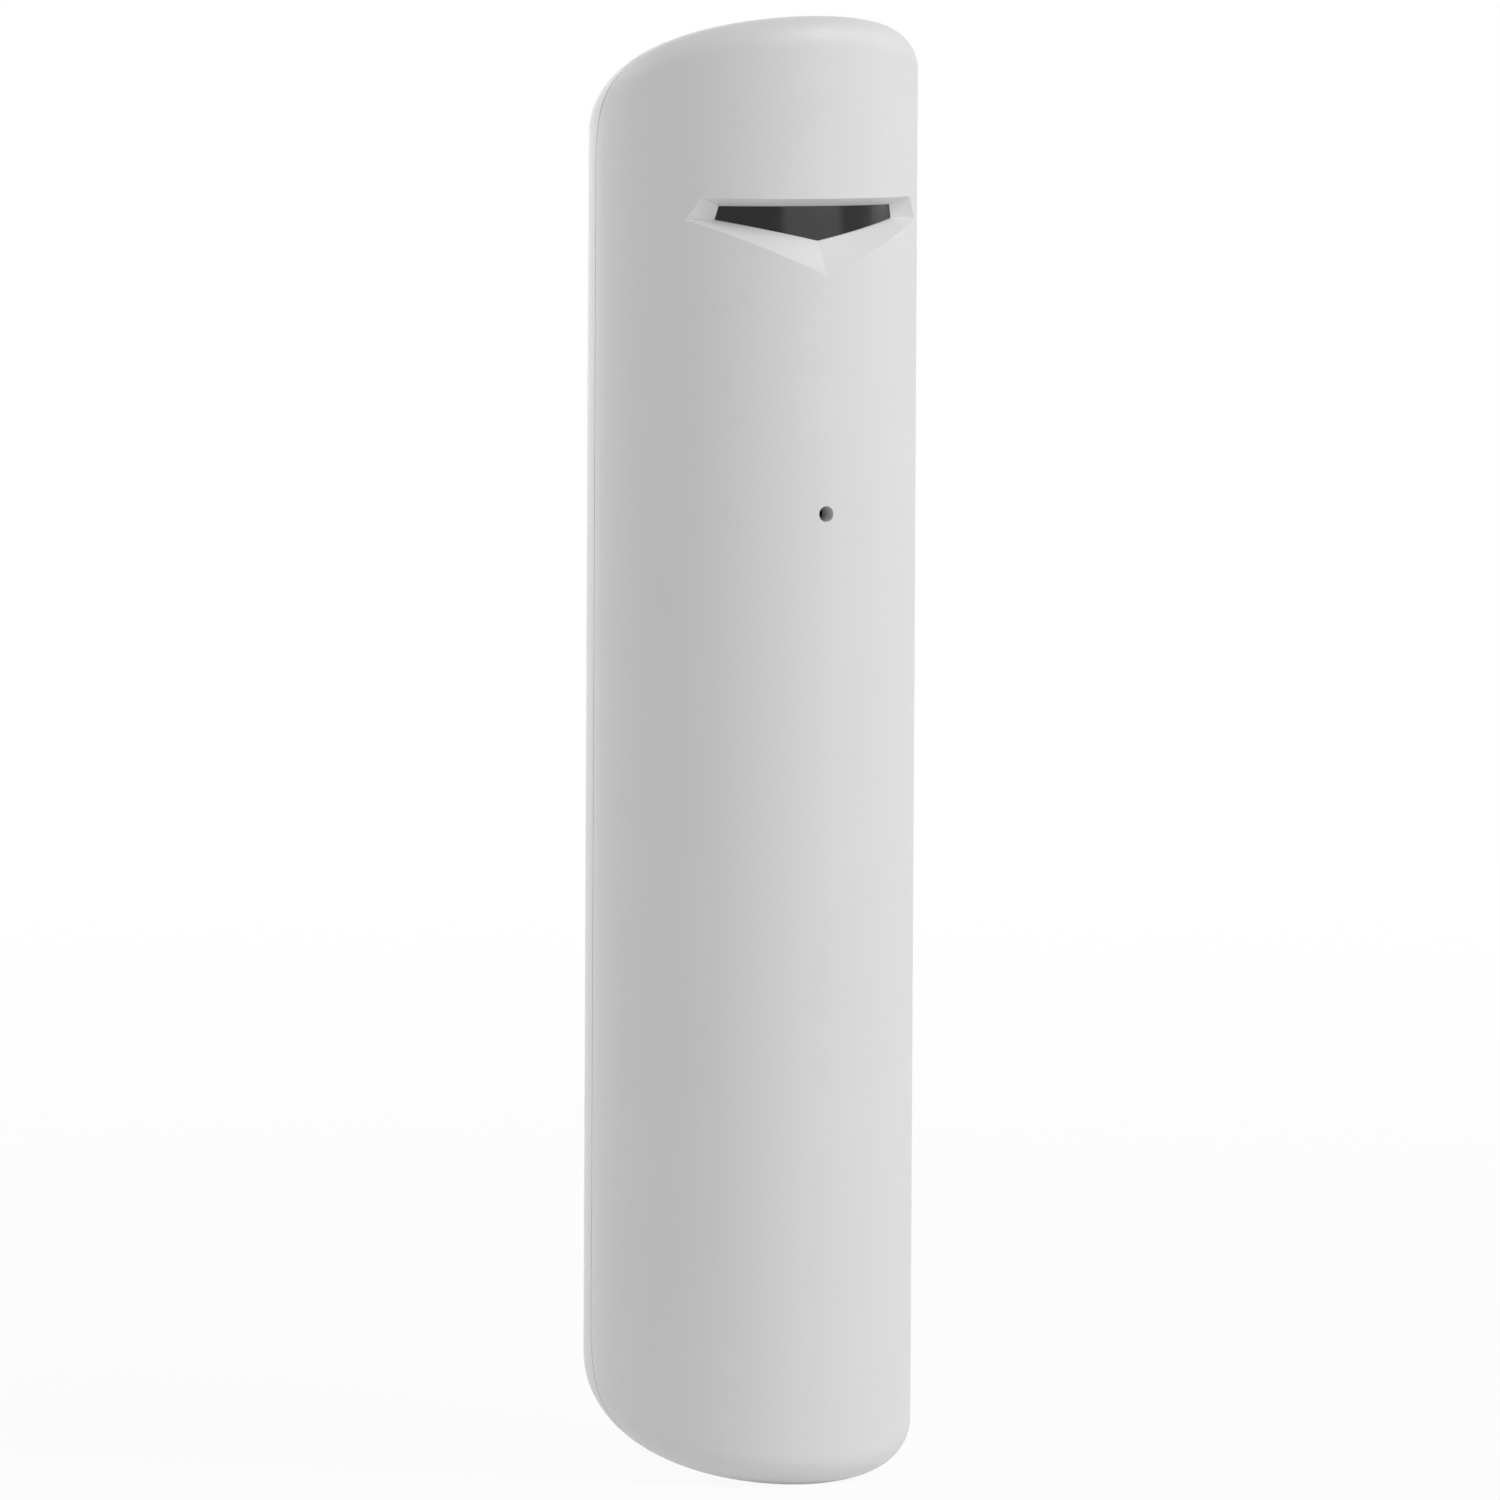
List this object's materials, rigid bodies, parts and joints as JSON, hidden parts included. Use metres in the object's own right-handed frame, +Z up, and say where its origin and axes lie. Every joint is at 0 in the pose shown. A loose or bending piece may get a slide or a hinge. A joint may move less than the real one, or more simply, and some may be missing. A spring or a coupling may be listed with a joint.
{
  "type": "glass break sensor",
  "caption": "Slim half-round wall sensor that listens for breaking glass, with a smoked indicator window, a sound hole and a hook-on mounting panel with a tamper.",
  "frame": {"origin": "middle of the mounting panel's wall face, halfway up its height and width", "axes": "+Z up the sensor's length, +Y into the wall, so the round front faces -Y"},
  "size_m": [0.02, 0.018, 0.089],
  "materials": {
    "panel_plastic": "moulded white ABS",
    "housing_plastic": "moulded white ABS, fine satin grain",
    "smoked_plastic": "smoked polycarbonate, polished",
    "clear_plastic": "clear acrylic",
    "led_resin": "clear resin over a chip",
    "board_laminate": "green solder mask",
    "screw_steel": "zinc-plated steel",
    "capsule_metal": "drawn aluminium can",
    "boot_rubber": "black silicone rubber",
    "mesh_cloth": "fine woven polyester mesh",
    "terminal_plastic": "moulded polyamide",
    "clamp_brass": "nickel-free brass",
    "switch_plastic": "moulded black plastic",
    "plunger_plastic": "moulded acetal",
    "chip_epoxy": "moulded epoxy",
    "crystal_can": "plated steel lid",
    "ferrite": "ferrite and lacquer",
    "capacitor_ceramic": "fired ceramic"
  },
  "bodies": {
    "mounting": {"mounting_panel": "panel_plastic"},
    "sensor": {"front_housing": "housing_plastic", "rear_housing": "housing_plastic", "indicator_window": "smoked_plastic", "light_guide": "clear_plastic", "status_led": "led_resin", "circuit_board": "board_laminate", "board_screws": "screw_steel", "microphone_capsule": "capsule_metal", "microphone_boot": "boot_rubber", "acoustic_mesh": "mesh_cloth", "terminal_block": "terminal_plastic", "terminal_screws": "screw_steel", "terminal_clamps": "clamp_brass", "terminal_pins": "clamp_brass", "tamper_switch": "switch_plastic", "tamper_spring": "screw_steel", "microcontroller": "chip_epoxy", "amplifier_chip": "chip_epoxy", "crystal": "crystal_can", "bus_transceiver": "chip_epoxy", "surge_diode": "chip_epoxy", "power_inductor": "ferrite", "filter_capacitors": "capsule_metal", "chip_resistors": "chip_epoxy", "chip_capacitors": "capacitor_ceramic"},
    "tamper": {"tamper_plunger": "plunger_plastic"}
  },
  "joints": [
    {"name": "lift_off", "type": "slide", "parent": "mounting", "child": "sensor", "axis": [0, 0, 1], "range_m": [0, 0.006]},
    {"name": "tamper_travel", "type": "slide", "parent": "sensor", "child": "tamper", "axis": [0, 1, 0], "range_m": [0, 0.001], "deforming": ["tamper_spring"]}
  ],
  "couplings": [
    {"joint": "tamper_travel", "follows": "lift_off", "ratio": 0.16666}
  ]
}
